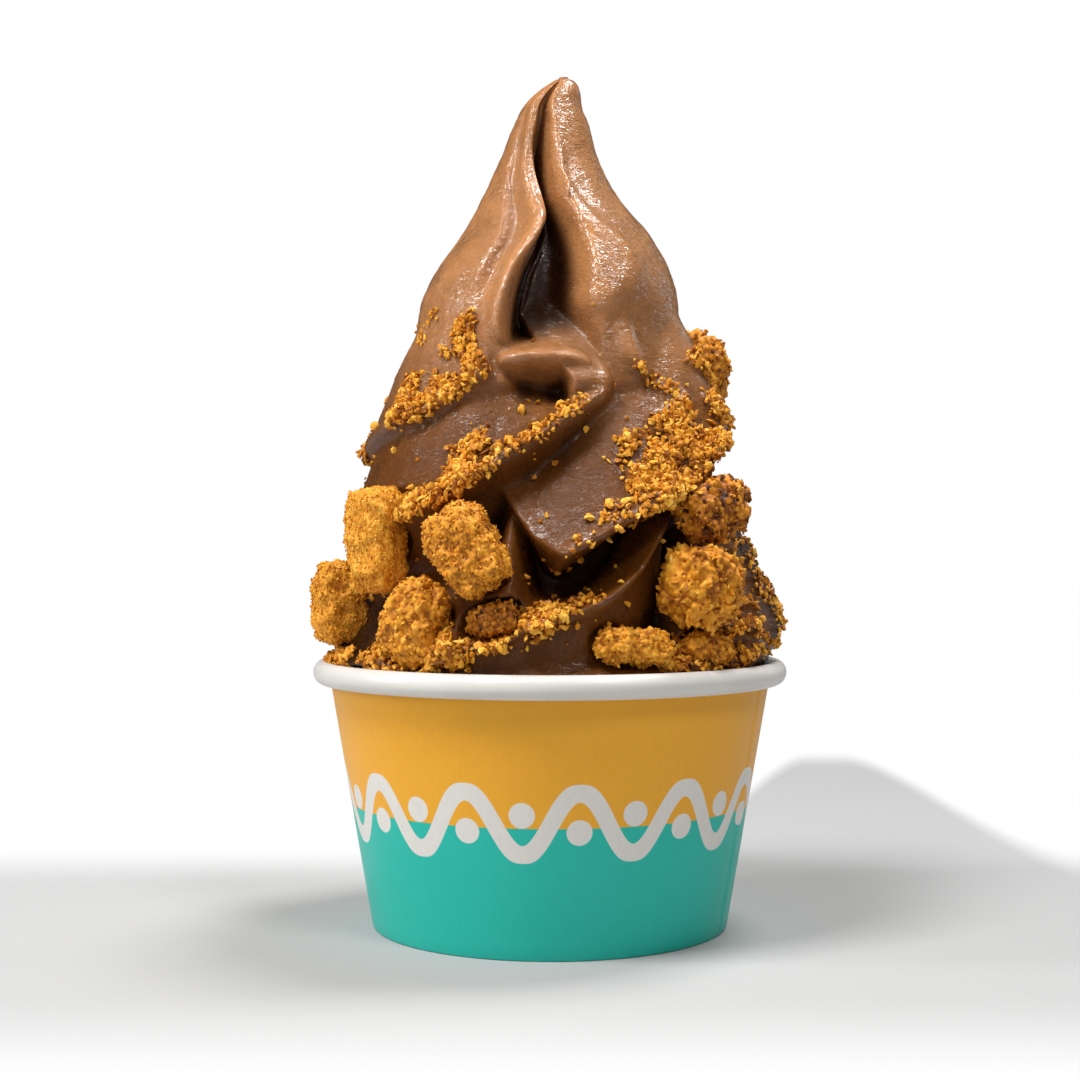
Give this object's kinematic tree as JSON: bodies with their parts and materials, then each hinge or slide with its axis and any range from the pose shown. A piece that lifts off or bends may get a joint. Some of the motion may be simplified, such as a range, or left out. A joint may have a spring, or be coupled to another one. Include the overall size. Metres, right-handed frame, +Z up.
{
  "type": "frozen yogurt cup",
  "caption": "Paper cup of chocolate frozen yogurt swirled to a tall fluted peak, with crumbs and crumb-coated biscuit chunks.",
  "frame": {"origin": "centre of the cup's foot, on the surface that the cup stands on", "axes": "+Z up along the cup's axis, -Y towards the front of the serving, +X to the right seen from the front"},
  "size_m": [0.092, 0.092, 0.1653],
  "materials": {
    "printed_paper": "satin printed paper board, orange over teal, with a white rolled rim and white inside",
    "chocolate_yogurt": "moist, softly glossy frozen chocolate yogurt with fine wrinkles and pressed-in crumbs",
    "biscuit_crumb": "dry, rough golden crumb coating"
  },
  "bodies": {
    "root": {"cup": "printed_paper", "frozen_yogurt": "chocolate_yogurt", "biscuit_left_outer": "biscuit_crumb", "biscuit_left_upper": "biscuit_crumb", "biscuit_centre": "biscuit_crumb", "biscuit_left_lower": "biscuit_crumb", "biscuit_tucked": "biscuit_crumb", "biscuit_high_back": "biscuit_crumb", "biscuit_right_upper": "biscuit_crumb", "biscuit_right_lower": "biscuit_crumb", "biscuit_rim_front": "biscuit_crumb", "biscuit_rim_right": "biscuit_crumb", "biscuit_back_low": "biscuit_crumb", "biscuit_back_mid": "biscuit_crumb", "biscuit_back_left": "biscuit_crumb"}
  },
  "joints": []
}
